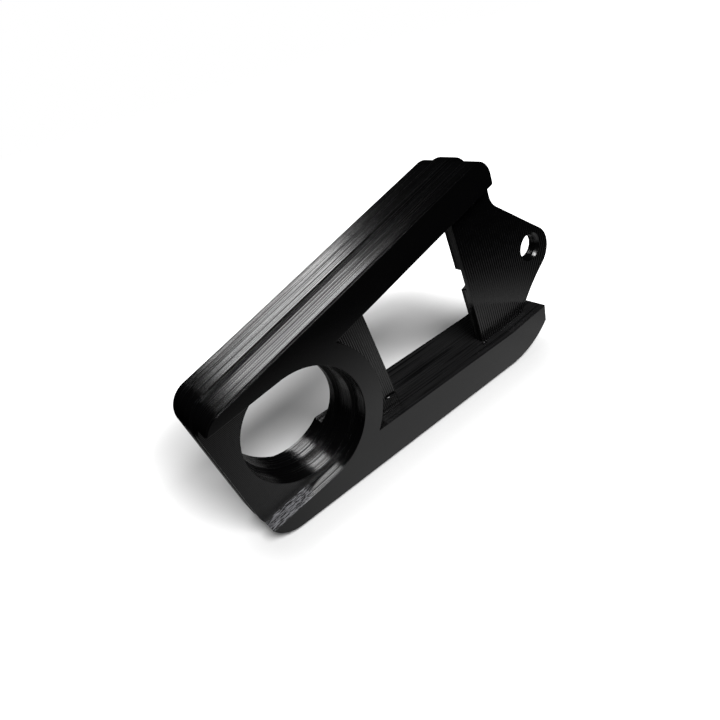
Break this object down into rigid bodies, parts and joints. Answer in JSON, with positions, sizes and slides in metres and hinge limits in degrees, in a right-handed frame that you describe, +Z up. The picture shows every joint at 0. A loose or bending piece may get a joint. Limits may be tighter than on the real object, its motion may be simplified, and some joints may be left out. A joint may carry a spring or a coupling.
{
  "type": "chain slider",
  "caption": "Swingarm chain slider: a pivot ring between two diverging rails with a raised chain guide rib, a window and a bolt lug.",
  "frame": {"origin": "pivot bore axis, at the mouth of the bore on the front recess floor", "axes": "+X along the lower rail towards the bolt lug, +Y from the front plane through the depth along the pivot axis, +Z up"},
  "size_m": [0.123, 0.0208, 0.068],
  "materials": {
    "black_plastic": "glossy"
  },
  "bodies": {
    "root": {"slider_body": "black_plastic"}
  },
  "joints": []
}
